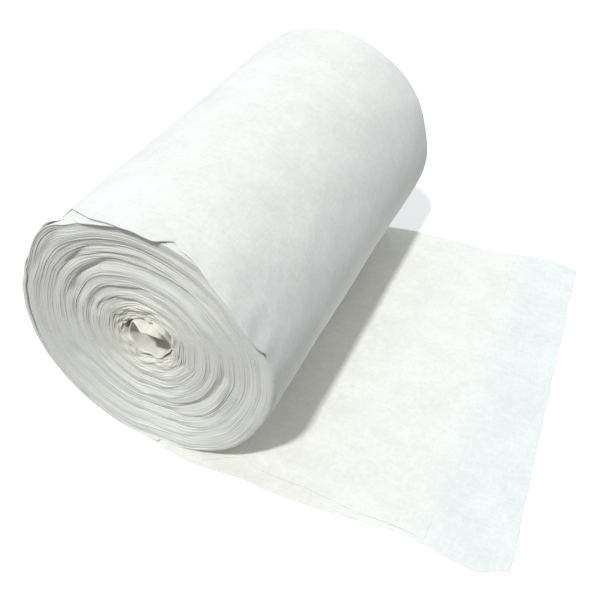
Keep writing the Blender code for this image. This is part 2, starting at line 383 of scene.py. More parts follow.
@dataclass(frozen=True)
class RollEnd:
    """One end of the roll: how far the edges of its turns stand back from it."""

    crests: Table
    lines: tuple[EdgeLine, ...]
    fine: Unevenness
    stray: Unevenness
    groups: int = 8
    groove_depth: float = 0.0026
    swing_depth: float = 0.0008
    swing_phase: float = 0.4
    swing_turn: float = 210.0
    fine_depth: float = 0.00014
    stray_depth: float = 0.0006
    stray_reach: float = 0.26
    line_depth: float = 0.52
    line_width: float = 1.35
    lifted: tuple[float, float, float, float] = (30, 60, 106, 124)

    def stand_back(self, degrees: np.ndarray, radius: np.ndarray, share: np.ndarray) -> np.ndarray:
        """How far back the turns' edges stand.

        It is the crests' depth, deeper under the lifted edge, plus a groove between each group of turns
        and the next, 1 less the sine of half a turn across the group, plus the fold lines and the
        unevenness, which is large only near the hollow. The groove's depth swings twice a turn, in a
        direction that turns with the radius.

        Args:
            degrees: Directions round the axis.
            radius: Distances from the axis.
            share: Shares of the way from the hollow to the outside.

        Returns:
            How far back, in metres.
        """
        angle = wrapped(degrees)
        turn = (angle - UNDERNEATH) / ROUND
        across = (share * self.groups - turn) % 1.0
        swing = self.swing_depth * np.sin(np.radians(2 * degrees) + self.swing_phase + radius * self.swing_turn)
        opening, opened, closing, closed = self.lifted
        lifted = risen(angle, opening, opened) * (1 - risen(angle, closing, closed))
        back = between(self.crests.read("back", radius), self.crests.read("under_lip", radius), lifted)
        back = back + (1 - np.sin(np.pi * across)) * (self.groove_depth + swing)
        for line in self.lines:
            back = back + self.line_depth * line.stand_back(degrees, radius, self.line_width)
        back = back + self.fine_depth * self.fine.at(radius, np.radians(degrees))
        loose = self.stray_depth * (1 - risen(share, 0.0, self.stray_reach))
        return back + loose * self.stray.at(radius, np.radians(degrees))


@dataclass
class WoundTurns:
    """A stretch of the wound turns inside the outermost one: a long folded ribbon, wound outwards."""

    name: str
    shape: RollShape
    near_end: RollEnd
    far_end: RollEnd
    first_share: float
    last_share: float
    steps_a_turn: int
    end_step: float = 0.03
    turns: float = 71.375
    last_angle: float = UNDERNEATH - 60 + ROUND
    wrap_thickness: float = 0.0017
    fullness: float = 0.502
    looseness: float = 0.90
    uneven: Table = Table(("size", "waves", "phase"), ((0.0030, 6.5, 0.8), (0.0018, 11, 2)))
    raised_share: tuple[float, float] = (0.80, 0.98)
    edge_radii: tuple[float, float] = (0.00003, 0.00016)
    slack: Unevenness = Unevenness(17, (0.030, 0.030, 1.0))
    slack_range: tuple[float, float] = (-0.6, 1.4)
    slant_reach: float = 0.0010
    edge_coarseness: float = 0.25
    coarse_reach: tuple[float, float] = (0.0002, 0.0030)
    # Painted cream glow of light scattered in the cloth: strongest near the hollow, fading outwards between
    # these radii.
    painted_tone: tuple[float, float] = (0.95, 0.66)
    painted_tone_reach: tuple[float, float] = (0.013, 0.030)
    stations: Table = Table(
        ("fullness", "radii", "inset"),
        (
            (0.0, 0.0, 0.0),
            (0.82, 0.03, 0.0),
            (0.96, 0.25, 0.0),
            (1.0, 1.0, 0.0),
            (1.0, 0.0, 0.0030),
            (1.0, 0.0, 0.0120),
        ),
    )
    crumple: Unevenness = Unevenness(5, (0.014, 0.030, 0.014))
    crumple_up: Unevenness = Unevenness(12, (0.014, 0.030, 0.014))
    crumple_depth: float = 0.0010
    crumple_reach: float = 0.30
    ripple_depth: float = 0.00018
    ripple_reach: float = 0.012

    def tightness(self, wound: np.ndarray) -> np.ndarray:
        """The share of the way outwards at a share of the turns: looser near the hollow, and uneven."""
        uneven = sum(size * np.sin(2 * np.pi * waves * wound + phase) for size, waves, phase in self.uneven.rows)
        return wound**self.looseness + uneven * np.sin(np.pi * wound)

    def rows(self) -> np.ndarray:
        """Where the grid's rows lie, with a short step at both ends, which closes the ribbon there.

        Returns:
            Shares of all the turns, one column.
        """
        steps = round(self.turns * (self.last_share - self.first_share) * self.steps_a_turn)
        wound = np.linspace(self.first_share, self.last_share, steps)
        hem = (wound[1] - wound[0]) * self.end_step
        return np.concatenate((wound[:1], wound[:1] + hem, wound[1:-1], wound[-1:] - hem, wound[-1:]))[:, None]

    def edges(
        self, degrees: np.ndarray, radius: np.ndarray, outward: np.ndarray, thickness: float
    ) -> tuple[np.ndarray, ...]:
        """How far back the ribbon's two sides stand at each end of the roll.

        Args:
            degrees: Directions round the axis.
            radius: Distances of the ribbon's middle from the axis.
            outward: Shares of the way from the hollow to the outside.
            thickness: The ribbon's.

        Returns:
            At the near end the inner and the outer side, and then the same at the far end.
        """
        return tuple(
            end.stand_back(degrees, radius + side * thickness / 2, outward)
            for end in (self.near_end, self.far_end)
            for side in (-1, 1)
        )

    def looseness_at(self, outward: np.ndarray, distance: np.ndarray) -> np.ndarray:
        """How far the cloth strays from its place: most near the hollow, and a little at its edges."""
        crumpled = self.crumple_depth * (1 - risen(outward, 0.0, self.crumple_reach))
        return crumpled + self.ripple_depth * np.exp(-distance / self.ripple_reach)

    def build(self) -> bpy.types.Object:
        """Builds the ribbon.

        Its middle line is a spiral: the radius is read between the hollow and the outside by the share of
        the turns so far, and waves in space crumple it, more so near the hollow. Its section has
        stations in from each edge, and each edge stands back as its end of the roll says. It is as thick
        as the turns are far apart.

        Returns:
            The piece.
        """
        wound = self.rows()
        degrees = self.last_angle - ROUND * self.turns * (1 - wound)
        outward = self.tightness(wound)
        fullness, radii, inset = (
            np.concatenate((column, column[::-1]))[None, :]
            for column in (self.stations.column(name) for name in self.stations.columns)
        )
        is_near = np.arange(inset.size)[None, :] < inset.size / 2
        share = np.where(is_near, inset, self.shape.width - inset) / self.shape.width

        hollow = self.shape.hollow(degrees, share)
        outside = self.shape.outside(degrees, share) - self.wrap_thickness
        outside = self.shape.above(degrees, outside, self.shape.flat_level + self.wrap_thickness)
        lip = np.where(is_near, self.shape.lip(degrees, inset), 0.0)
        raised = risen(outward, *self.raised_share)
        radius = between(hollow, outside, outward) + lip * raised
        angle = np.radians(degrees)
        x = radius * np.cos(angle) + (1 - outward) * self.shape.hollow_shift[0]
        z = radius * np.sin(angle) + (1 - outward) * self.shape.hollow_shift[1] + self.shape.radius

        middle_radius = radius.mean(axis=1, keepdims=True)
        depth = middle_radius.max() - middle_radius.min()
        thickness = 2 * self.fullness * depth / len(wound) * self.steps_a_turn
        near_in, near_out, far_in, far_out = self.edges(degrees, middle_radius, outward, thickness)
        slack = self.slack.at(middle_radius * np.cos(angle), middle_radius * np.sin(angle), share)
        distance = inset + radii * between(*self.edge_radii, risen(slack, *self.slack_range))
        y = np.where(
            is_near,
            (near_in + near_out) / 2 + distance - self.shape.width / 2,
            self.shape.width / 2 - (far_in + far_out) / 2 - distance,
        )
        slant = np.where(is_near, near_in - near_out, far_out - far_in) / 2 * (distance < self.slant_reach)
        loose = self.looseness_at(outward, distance)
        sideways = loose * self.crumple.at(x, y, z)
        upwards = loose * self.crumple_up.at(x, y, z)

        growth, raising = (np.gradient(column[:, 0], wound[:, 0])[:, None] for column in (outward, raised))
        pitch = ((outside - hollow) * growth + lip * raising) / self.turns
        half = self.fullness * pitch * fullness
        run = lengths(middle_radius[1:, 0] * np.diff(angle[:, 0]))
        middle = np.stack(np.broadcast_arrays(x + sideways, y, z + upwards), -1)
        cloth = np.stack(np.broadcast_arrays(run, y), -1)
        # Painted light: the turns are painted cream near the hollow, fading towards the outside.
        painted_tone = between(*self.painted_tone, risen(middle_radius, *self.painted_tone_reach))
        coarse = between(self.edge_coarseness, 1.0, risen(distance, *self.coarse_reach))
        piece = cloth_object(self.name, middle, half, cloth, painted_tone, coarse, slant)
        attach(piece, "root")
        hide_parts("wound_roll")
        return piece


@dataclass
class InnerEnd:
    """The cloth's inner end: a last turn and a quarter, crumpled loosely inside the hollow."""

    shape: RollShape
    name: str = "inner_end"
    thickness: float = 0.0008
    steps: int = 260
    edge_radius: float = 0.0004
    shift_share: float = 0.4
    fold_depth: float = 0.00045
    folds: Unevenness = Unevenness(41, (0.0075, 0.020, 0.0075))
    stations: tuple[float, ...] = (0.0, 0.0001, 0.0004, 0.0012, 0.0026, 0.0045, 0.0070, 0.0100, 0.0140, 0.0200)
    plain_from: float = 0.030
    plain_stations: int = 8
    path: Table = Table(
        ("angle", "radius", "near", "far"),
        (
            (-375, 0.0098, 0.0090, 0.0080),
            (-340, 0.0100, 0.0050, 0.0070),
            (-318, 0.0107, 0.0016, 0.0060),
            (-296, 0.0098, 0.0006, 0.0052),
            (-270, 0.0088, 0.0012, 0.0058),
            (-248, 0.0098, 0.0034, 0.0062),
            (-222, 0.0110, 0.0060, 0.0058),
            (-198, 0.0106, 0.0066, 0.0050),
            (-172, 0.0104, 0.0062, 0.0046),
            (-140, 0.0104, 0.0054, 0.0052),
            (-112, 0.0102, 0.0050, 0.0048),
            (-90, 0.0100, 0.0050, 0.0044),
            (-60, 0.0106, 0.0052, 0.0050),
            (-38, 0.0112, 0.0058, 0.0046),
            (-8, 0.0116, 0.0060, 0.0042),
            (24, 0.0124, 0.0044, 0.0040),
            (52, 0.0126, 0.0030, 0.0040),
            (75, 0.0118, 0.0060, 0.0044),
        ),
    )

    def build(self) -> bpy.types.Object:
        """Builds the ribbon: the path's radius at each direction, crumpled by waves in space.

        Returns:
            The piece.
        """
        degrees = np.linspace(self.path.rows[0][0], self.path.rows[-1][0], self.steps)[:, None]
        plain = np.linspace(self.plain_from, self.shape.width / 2, self.plain_stations)
        distance = np.concatenate((self.stations, plain))
        distance = np.concatenate((distance, distance[-2::-1]))[None, :]
        is_near = np.arange(distance.size)[None, :] < distance.size / 2
        near, far = self.path.read("near", degrees), self.path.read("far", degrees)
        half_width = self.shape.width / 2
        stretch = (2 * half_width - near - far) / (2 * half_width)
        y = np.where(is_near, near - half_width + distance * stretch, half_width - far - distance * stretch)
        radius = self.path.read("radius", degrees) + 0 * y
        angle = np.radians(degrees)
        x = radius * np.cos(angle) + self.shape.hollow_shift[0] * self.shift_share
        z = radius * np.sin(angle) + self.shape.radius
        bulge = 1 + self.fold_depth * self.folds.at(x, y, z) / radius
        middle = np.stack((x * bulge, y, (z - self.shape.radius) * bulge + self.shape.radius), -1)
        run = lengths(np.linalg.norm(np.diff(middle, axis=0), axis=2).mean(axis=1))
        ends = np.minimum(run, run[-1] - run)
        half = self.thickness / 2 * rounded(distance, self.edge_radius) * rounded(ends, self.edge_radius)
        cloth = np.stack(np.broadcast_arrays(run, y), -1)
        # Painted light: the whole inner end is painted with the full cream glow.
        piece = cloth_object(self.name, middle, half, cloth, np.float64(1.0))
        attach(piece, "root")
        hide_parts("wound_roll")
        return piece


class Ply(Enum):
    """The two plies of the outermost turn, as they lie on the roll."""

    OUTER = "outer_ply"
    INNER = "inner_ply"


@dataclass(frozen=True)
class PlyEdges:
    """Where a ply's edges lie round the roll and along the loose end."""

    turn: Table
    tail: Table


TURN_COLUMNS = ("angle", "near", "far", "lap", "bend", "flare")
TAIL_COLUMNS = ("x", "near", "far")
PLY_EDGES = {
    Ply.OUTER: PlyEdges(
        turn=Table(
            TURN_COLUMNS,
            (
                (-90, 0.0004, 0.0012, 0.0, 0, 0.0),
                (-74, 0.0010, 0.0008, 0.0020, 70, 0.0),
                (-60, 0.0016, 0.0004, 0.0030, 85, 0.0),
                (-40, 0.0016, 0.0002, 0.0030, 85, 0.0),
                (0, 0.0016, 0.0010, 0.0030, 85, 0.0),
                (11, 0.0016, 0.0014, 0.0026, 80, 0.0),
                (17, 0.0006, 0.0013, 0.0006, 25, 0.0),
                (21, -0.0026, 0.0012, 0.0, 0, 0.0),
                (29, -0.0051, 0.0006, 0.0, 0, 0.0),
                (40, -0.0043, 0.0000, 0.0, 0, 0.0),
                (51, -0.0021, 0.0010, 0.0, 0, 0.0),
                (60, 0.0012, 0.0020, 0.0, 0, 0.0),
                (68, 0.0030, 0.0014, 0.0, 0, 0.0),
                (70, 0.0046, 0.0012, 0.0, 0, 0.0),
                (73, 0.0016, 0.0006, 0.0, 0, 0.0),
                (76, -0.0010, 0.0004, 0.0, 0, 0.0),
                (87, -0.0010, 0.0008, 0.0, 0, 0.0),
                (96, 0.0002, 0.0014, 0.0, 0, 0.0002),
                (102, 0.0014, 0.0014, 0.0, 0, 0.0004),
                (108, 0.0042, 0.0012, 0.0, 0, 0.0006),
                (114, 0.0080, 0.0010, 0.0, 0, 0.0006),
                (120, 0.0125, 0.0006, 0.0, 0, 0.0004),
                (128, 0.0185, 0.0000, 0.0, 0, 0.0002),
                (132, 0.0150, 0.0002, 0.0, 0, 0.0),
                (136, 0.0098, 0.0003, 0.0, 0, 0.0),
                (141, 0.0050, 0.0004, 0.0, 0, 0.0),
                (146, 0.0030, 0.0005, 0.0, 0, 0.0),
                (150, 0.0022, 0.0006, 0.0008, 30, 0.0),
                (156, 0.0016, 0.0007, 0.0026, 80, 0.0),
                (165, 0.0015, 0.0008, 0.0030, 85, 0.0),
                (185, 0.0015, 0.0012, 0.0032, 86, 0.0),
                (215, 0.0015, 0.0016, 0.0030, 85, 0.0),
                (238, 0.0012, 0.0016, 0.0026, 80, 0.0),
                (252, 0.0006, 0.0014, 0.0010, 40, 0.0),
                (259, 0.0000, 0.0014, 0.0, 0, 0.0),
                (270, -0.0014, 0.0012, 0.0, 0, 0.0),
            ),
        ),
        tail=Table(
            TAIL_COLUMNS,
            (
                (0.0, -0.0016, 0.0012),
                (0.0040, -0.0030, 0.0004),
                (0.0240, -0.0056, -0.0006),
                (0.0480, -0.0042, -0.0018),
                (0.0640, -0.0056, -0.0043),
                (0.0800, -0.0053, -0.0046),
                (0.0960, -0.0043, -0.0044),
                (0.1150, -0.0028, -0.0031),
                (0.1300, -0.0015, -0.0052),
                (0.1450, -0.0038, -0.0075),
                (0.1560, -0.0055, -0.0066),
                (0.1646, -0.0066, -0.0040),
                (0.1796, -0.0008, -0.0022),
            ),
        ),
    ),
    Ply.INNER: PlyEdges(
        turn=Table(
            TURN_COLUMNS,
            (
                (-90, 0.0014, 0.0020, 0.0, 0, 0.0),
                (-40, 0.0020, 0.0014, 0.0, 0, 0.0),
                (0, 0.0022, 0.0020, 0.0, 0, 0.0),
                (17, 0.0018, 0.0022, 0.0, 0, 0.0),
                (28, -0.0019, 0.0016, 0.0, 0, 0.0),
                (40, -0.0030, 0.0012, 0.0, 0, -0.0003),
                (52, 0.0014, 0.0020, 0.0, 0, -0.0004),
                (61, 0.0030, 0.0030, 0.0, 0, -0.0004),
                (72, 0.0030, 0.0020, 0.0, 0, -0.0005),
                (82, 0.0014, 0.0018, 0.0, 0, -0.0004),
                (89, 0.0004, 0.0020, 0.0, 0, -0.0004),
                (97, -0.0004, 0.0024, 0.0, 0, -0.0005),
                (108, 0.0006, 0.0020, 0.0, 0, -0.0005),
                (113, 0.0034, 0.0018, 0.0, 0, -0.0005),
                (117.5, 0.0086, 0.0016, 0.0, 0, 0.0),
                (120, 0.0044, 0.0015, 0.0, 0, 0.0002),
                (123, 0.0022, 0.0014, 0.0, 0, 0.0004),
                (128, 0.0014, 0.0012, 0.0, 0, 0.0004),
                (134, 0.0012, 0.0012, 0.0, 0, 0.0002),
                (140, 0.0012, 0.0014, 0.0, 0, 0.0),
                (147, 0.0014, 0.0015, 0.0, 0, 0.0),
                (153, 0.0018, 0.0016, 0.0, 0, 0.0),
                (160, 0.0018, 0.0018, 0.0, 0, 0.0),
                (215, 0.0020, 0.0026, 0.0, 0, 0.0),
                (248, 0.0018, 0.0022, 0.0, 0, 0.0),
                (259, 0.0008, 0.0022, 0.0, 0, 0.0),
                (270, -0.0002, 0.0020, 0.0, 0, 0.0),
            ),
        ),
        tail=Table(
            TAIL_COLUMNS,
            (
                (0.0, -0.0004, 0.0020),
                (0.0240, -0.0022, 0.0008),
                (0.0425, 0.0063, -0.0002),
                (0.0607, 0.0030, -0.0026),
                (0.0768, 0.0030, -0.0034),
                (0.0936, 0.0016, -0.0032),
                (0.1062, 0.0005, -0.0020),
                (0.1300, -0.0002, -0.0040),
                (0.1450, -0.0010, -0.0058),
            ),
        ),
    ),
}
PLY_STARTS = {Ply.OUTER: UNDERNEATH - 60, Ply.INNER: UNDERNEATH + 15}
PLY_LEVELS = {Ply.OUTER: 0.0003, Ply.INNER: 0.0010}
PLY_ENDS = {
    Ply.OUTER: Table(("along", "x"), ((-0.1123, 0.1796), (-0.0600, 0.1778), (0.0400, 0.1748), (0.1123, 0.1726))),
    Ply.INNER: Table(
        ("along", "x"),
        (
            (-0.1123, 0.1400),
            (-0.0866, 0.1418),
            (-0.0572, 0.1396),
            (-0.0468, 0.1411),
            (-0.0007, 0.1385),
            (0.0128, 0.1380),
            (0.0280, 0.1420),
            (0.0671, 0.1355),
            (0.1123, 0.1340),
        ),
    ),
}


@dataclass
class OutermostTurn:
    """The outermost turn and the loose end: one ply that goes once round the roll and then lies flat."""

    shape: RollShape
    ply: Ply
    thickness: float = 0.00064
    turn_steps: int = 300
    tail_steps: int = 96
    stations: tuple[float, ...] = (0.0, 0.0001, 0.00025, 0.0006, 0.0012, 0.0022, 0.0036, 0.0054, 0.0076)
    plain_from: float = 0.0104
    plain_stations: int = 72
    end_rows: tuple[float, ...] = (0.0035, 0.0018, 0.0008, 0.0003, 0.00008, 0.0)
    last_plain_row: float = 0.9945
    bend_radius: float = 0.0010
    flare_reach: float = 0.0055
    # Painted light: the turn's tone is the plain cloth's. Along the loose end, a painted cream cast lies in the
    # roll's shade and fades to plain. Past the inner ply's end it turns to a painted cooler, darker see-through
    # shade.
    turn_painted_tone: float = 0.48
    tail_painted_tones: tuple[float, float, float] = (0.82, 0.56, 0.16)
    painted_tone_stretches: tuple[tuple[float, float], tuple[float, float]] = ((0.060, 0.115), (0.128, 0.150))
    edge_radius: float = 0.0005
    hidden_depth: float = 0.0014
    hidden_turn: float = 30.0
    tucked_turn: tuple[float, float] = (UNDERNEATH - 5, UNDERNEATH + 32)
    tucked_depth: float = 0.0009
    settled_turn: tuple[float, float] = (UNDERNEATH + 30, UNDERNEATH + 170)
    settled_depth: float = 0.0005
    free_height: tuple[float, float] = (0.004, 0.016)
    high_up: tuple[float, float] = (0.06, 0.10)
    pucker_height: float = 0.00016
    crinkle_height: float = 0.00007
    edge_crinkle_heights: tuple[float, float] = (0.00008, 0.00020)
    edge_crinkle_reach: float = 0.007
    clear_of_roll: tuple[float, float] = (0.022, 0.046)
    swell_height: float = 0.00035
    swells: tuple[tuple[float, float, float], ...] = ((52, 17, 0.0), (-21, 38, 1.1))
    outer_heave: float = 0.6
    shake: float = 0.0003
    shaken_from: tuple[float, float] = (0.10, 0.17)
    end_sinks: float = 0.00045
    inner_length: float = 0.139
    inner_taper: float = 0.016
    creases: Table = Table(
        ("x0", "y0", "x1", "y1", "half_width", "height"),
        (
            (0.1638, -0.0608, 0.1644, -0.0740, 0.0030, 0.0010),
            (0.1667, -0.0840, 0.1721, -0.0828, 0.0030, 0.0010),
            (0.1721, -0.0828, 0.1765, -0.0942, 0.0030, 0.0009),
            (0.1646, 0.0576, 0.1711, 0.0344, 0.0050, 0.0007),
            (0.1711, 0.0344, 0.1681, -0.0057, 0.0050, 0.0007),
            (0.1553, 0.1180, 0.1690, 0.1090, 0.0050, 0.0024),
            (0.0900, 0.1080, 0.0960, 0.0200, 0.0120, 0.0008),
            (0.0500, -0.1000, 0.1240, -0.1040, 0.0030, 0.0007),
            (0.0451, -0.0935, 0.1050, -0.0975, 0.0035, 0.0006),
            (0.0660, -0.0600, 0.1320, -0.0740, 0.0060, 0.0007),
            (0.0700, -0.0300, 0.1250, -0.0390, 0.0050, 0.0006),
            (0.0640, 0.0050, 0.1180, -0.0020, 0.0050, 0.0005),
            (0.0700, 0.0420, 0.1300, 0.0340, 0.0060, 0.0006),
            (0.1180, -0.1120, 0.1600, -0.1040, 0.0060, 0.0009),
        ),
    )
    puckers: Unevenness = Unevenness(21, (0.030, 0.055, 0.030))
    crinkles: Unevenness = Unevenness(34, (0.011, 0.021, 0.011), waves=12)

    @property
    def level(self) -> float:
        """How far the ply's middle lies in from the roll's outside, and over the table."""
        return PLY_LEVELS[self.ply]

    @property
    def end_taper(self) -> float:
        """How far in from its end the ply thins out."""
        return self.edge_radius if self.ply is Ply.OUTER else self.inner_taper

    def columns(self) -> np.ndarray:
        """Where the grid's columns lie: close together at both edges, where the cloth is folded.

        Returns:
            Shares of the way across the cloth.
        """
        edge = np.array(self.stations)
        plain = np.linspace(self.plain_from, self.shape.width - self.plain_from, self.plain_stations)
        return np.concatenate((edge, plain, self.shape.width - edge[::-1])) / self.shape.width

    def heave(self, x: np.ndarray, y: np.ndarray) -> np.ndarray:
        """How far the loose end rises off the table.

        Each crease is its height times the bell curve of the distance from its line, and two crossed
        waves add soft swells. All of it starts where the cloth is clear of the roll.

        Args:
            x: Places along the loose end.
            y: Places along the roll.

        Returns:
            The rise at each place.
        """
        first, second = (np.sin(turn_x * x + turn_y * y + phase) for turn_x, turn_y, phase in self.swells)
        total = self.swell_height * (1 + first * second)
        for x0, y0, x1, y1, half_width, height in self.creases.rows:
            length = np.hypot(x1 - x0, y1 - y0)
            run = ((x1 - x0) / length, (y1 - y0) / length)
            along = (x - x0) * run[0] + (y - y0) * run[1]
            across = (x - x0) * run[1] - (y - y0) * run[0]
            past = np.maximum(np.maximum(-along, along - length), 0)
            off = np.hypot(across, past) / half_width
            total = total + height * np.exp(-off * off)
        return total * risen(x, *self.clear_of_roll)

    def bent(self, past: np.ndarray, bend: np.ndarray) -> tuple[np.ndarray, np.ndarray]:
        """Where the cloth lies at a length past the rim: on an arc, and then straight at the bend's angle.

        Args:
            past: Lengths past the rim.
            bend: How far the cloth bends over the rim, in radians.

        Returns:
            How far forward and how far inward it reaches.
        """
        arc = np.minimum(past / self.bend_radius, bend)
        rest = past - self.bend_radius * arc
        forward = self.bend_radius * np.sin(arc) + rest * np.cos(arc)
        inward = self.bend_radius * (1 - np.cos(arc)) + rest * np.sin(arc)
        return forward, inward

    def lift(self, x: np.ndarray, y: np.ndarray, z: np.ndarray, from_end: np.ndarray) -> np.ndarray:
        """How far puckers and crinkles lift the cloth: more so close to its near edge, and high up there.

        Args:
            x: Places along the loose end.
            y: Places along the roll.
            z: Heights over the table.
            from_end: Distances from the roll's near end.

        Returns:
            The lift at each place.
        """
        low, more = self.edge_crinkle_heights
        close = np.exp(-from_end / self.edge_crinkle_reach)
        crinkled = self.crinkle_height + (low + more * risen(z, *self.high_up)) * close
        return self.pucker_height * self.puckers.at(x, y, z) + crinkled * self.crinkles.at(x, y, z)

    def on_roll(self, share: np.ndarray) -> tuple[np.ndarray, np.ndarray, np.ndarray]:
        """The part round the roll.

        The cloth is straight across the roll, bends over the rim where it laps over the near end, and is
        lifted a little where it is clear of the table.

        Args:
            share: Shares of the way across, one row.

        Returns:
            x, y and z of each point.
        """
        degrees = np.linspace(PLY_STARTS[self.ply], UNDERNEATH + ROUND, self.turn_steps)[:, None]
        rims = PLY_EDGES[self.ply].turn
        angle = np.where(np.isclose(degrees, UNDERNEATH + ROUND), UNDERNEATH + ROUND, wrapped(degrees))
        hidden = self.hidden_depth * (1 - risen(degrees, degrees[0], degrees[0] + self.hidden_turn))
        near, far = rims.read("near", angle) + hidden, rims.read("far", angle) + hidden
        lap, bend = rims.read("lap", angle), np.radians(rims.read("bend", angle))
        length = self.shape.width - near - far + lap
        in_from_edge = share * length
        forward, inward = self.bent(np.maximum(lap - in_from_edge, 0), bend)
        y = near - self.shape.width / 2 + np.maximum(in_from_edge - lap, 0) - forward

        along = np.clip(y / self.shape.width + 0.5, 0, 1)
        tucked = 1 - risen(degrees, *self.tucked_turn)
        sunk = self.tucked_depth * tucked + self.settled_depth * (1 - risen(degrees, *self.settled_turn))
        radius = self.shape.outside(degrees, along) - self.level - sunk
        level = np.where(degrees > ROUND / 2, self.level, self.shape.flat_level + self.level)
        lowest = self.shape.above(degrees, radius, level)
        x = self.shape.radius * np.cos(np.radians(degrees)) + 0 * y
        z = self.shape.radius * np.sin(np.radians(degrees)) + self.shape.radius
        free = risen(z, *self.free_height) * (1 - tucked)
        from_end = np.maximum(y + self.shape.width / 2, 0)
        lift = free * self.lift(x, y, z, from_end)
        flare = rims.read("flare", angle) * np.exp(-((in_from_edge / self.flare_reach) ** 2))
        radius = lowest + lift + flare + self.shape.lip(degrees, from_end) - inward
        return radius * np.cos(np.radians(degrees)), y, radius * np.sin(np.radians(degrees)) + self.shape.radius

    def on_table(self, share: np.ndarray) -> tuple[np.ndarray, np.ndarray, np.ndarray]:
        """The part along the table: the outline between its two edges and its cut end, with its creases.

        Args:
            share: Shares of the way across, one row.

        Returns:
            x, y and z of each point.
        """
        plain = np.linspace(0, self.last_plain_row, self.tail_steps + 1)[1:]
        run = np.concatenate((plain, 1 - np.array(self.end_rows)))[:, None]
        end = PLY_ENDS[self.ply].read("x", (share - 0.5) * self.shape.width)
        x = run * end
        edges = PLY_EDGES[self.ply].tail
        near, far = edges.read("near", x), edges.read("far", x)
        y = between(near - self.shape.width / 2, self.shape.width / 2 - far, share)
        rise = self.heave(x, y)
        sunk = 0.0
        if self.ply is Ply.OUTER:
            rise = rise * self.outer_heave
        else:
            sunk = self.end_sinks * risen(run, 1 - self.end_taper / self.inner_length, 1)
        x = x + self.shake * self.crinkles.at(x, y, 0 * x) * risen(x, *self.shaken_from)
        return x, y, self.level + rise - sunk

    def build(self) -> bpy.types.Object:
        """Builds the ply from its two parts.

        Returns:
            The piece.
        """
        share = self.columns()[None, :]
        parts = [np.broadcast_arrays(*part) for part in (self.on_roll(share), self.on_table(share))]
        x, y, z = (np.concatenate(pair) for pair in zip(*parts))
        middle = np.stack((x, y, z), -1)
        run = lengths(np.linalg.norm(np.diff(middle, axis=0), axis=2).mean(axis=1))
        column_gap = np.linalg.norm(np.diff(middle, axis=1), axis=2)
        across = np.concatenate((np.zeros((len(x), 1)), np.cumsum(column_gap, axis=1)), axis=1)
        across = across + (y[:, :1] + self.shape.width / 2)
        from_side = np.minimum(share, 1 - share) * self.shape.width
        from_end = np.minimum(run, run[-1] - run)
        half = self.thickness / 2 * rounded(from_side, self.edge_radius) * rounded(from_end, self.end_taper)
        cloth = np.stack(np.broadcast_arrays(run, across), -1)
        on_tail = (np.arange(len(x)) >= self.turn_steps)[:, None]
        # Painted light along the loose end: cream in the roll's shade, plain further out, and a cooler, darker
        # painted shade where one ply lets light through.
        tail_painted_tone = self.tail_painted_tones[0]
        for next_painted_tone, stretch in zip(self.tail_painted_tones[1:], self.painted_tone_stretches):
            tail_painted_tone = between(tail_painted_tone, next_painted_tone, risen(x, *stretch))
        painted_tone = np.where(on_tail, tail_painted_tone, self.turn_painted_tone)
        piece = cloth_object(self.ply.value, middle, half, cloth, painted_tone)
        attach(piece, "root")
        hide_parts("loose_end")
        return piece


